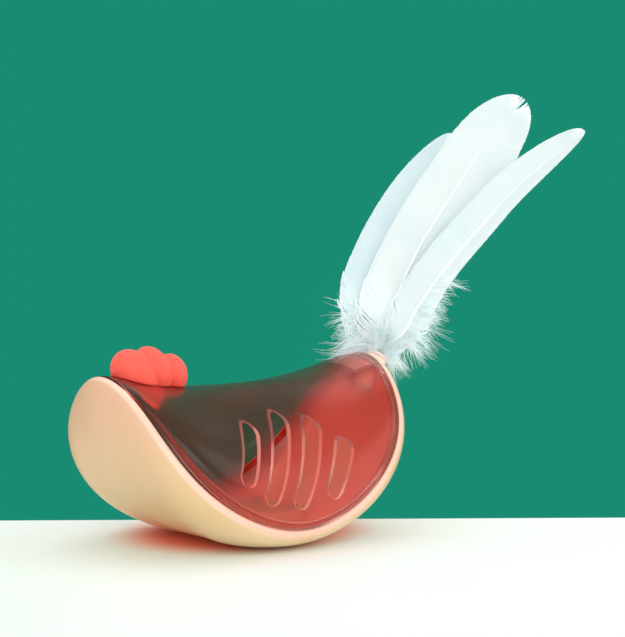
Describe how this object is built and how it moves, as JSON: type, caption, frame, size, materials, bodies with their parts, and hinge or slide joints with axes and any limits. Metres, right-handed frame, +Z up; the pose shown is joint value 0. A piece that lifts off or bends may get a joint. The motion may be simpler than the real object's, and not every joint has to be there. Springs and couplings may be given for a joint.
{
  "type": "rocking feather cat toy",
  "caption": "Egg-shaped rocking cat toy: cream base, see-through red cover with slanted slots, a soft comb and a tail of white feathers that turns and pulls out.",
  "frame": {"origin": "on the table, at the middle of the base's flat foot", "axes": "+X runs along the casing from the comb to the feathers, +Z is up, and -Y is the side that faces the viewer of the picture"},
  "size_m": [0.2349, 0.1034, 0.1874],
  "materials": {
    "cream_plastic": "satin",
    "clear_red_plastic": "see-through, glossy",
    "coral_silicone": "matte",
    "cast_iron": "as cast",
    "zinc_steel": "zinc plated",
    "blush_silicone": "matte",
    "aluminium": "drawn",
    "white_feather": "natural feather"
  },
  "bodies": {
    "casing": {"base_shell": "cream_plastic", "cover_shell": "clear_red_plastic", "counterweight": "cast_iron", "ballast_tray": "cream_plastic", "tray_screw_1": "zinc_steel", "tray_screw_2": "zinc_steel", "tray_screw_3": "zinc_steel", "tray_screw_4": "zinc_steel", "feather_socket": "cream_plastic"},
    "comb": {"comb_stopper": "coral_silicone"},
    "sleeve": {"feather_sleeve": "blush_silicone"},
    "tail": {"quill_ferrule": "aluminium", "feather_left": "white_feather", "feather_center": "white_feather", "feather_right": "white_feather", "down_tuft_1": "white_feather", "down_tuft_2": "white_feather", "down_tuft_3": "white_feather", "down_tuft_4": "white_feather"}
  },
  "joints": [
    {"name": "comb_pull", "type": "slide", "parent": "casing", "child": "comb", "axis": [0, 0, 1], "range_m": [0, 0.012]},
    {"name": "tail_pull", "type": "slide", "parent": "casing", "child": "sleeve", "axis": [0.5736, 0, 0.8192], "range_m": [0, 0.012]},
    {"name": "tail_turn", "type": "hinge", "parent": "sleeve", "child": "tail", "pos_m": [0.07587, 0, 0.07228], "axis": [0.5736, 0, 0.8192], "range_deg": [-180, 180]}
  ]
}
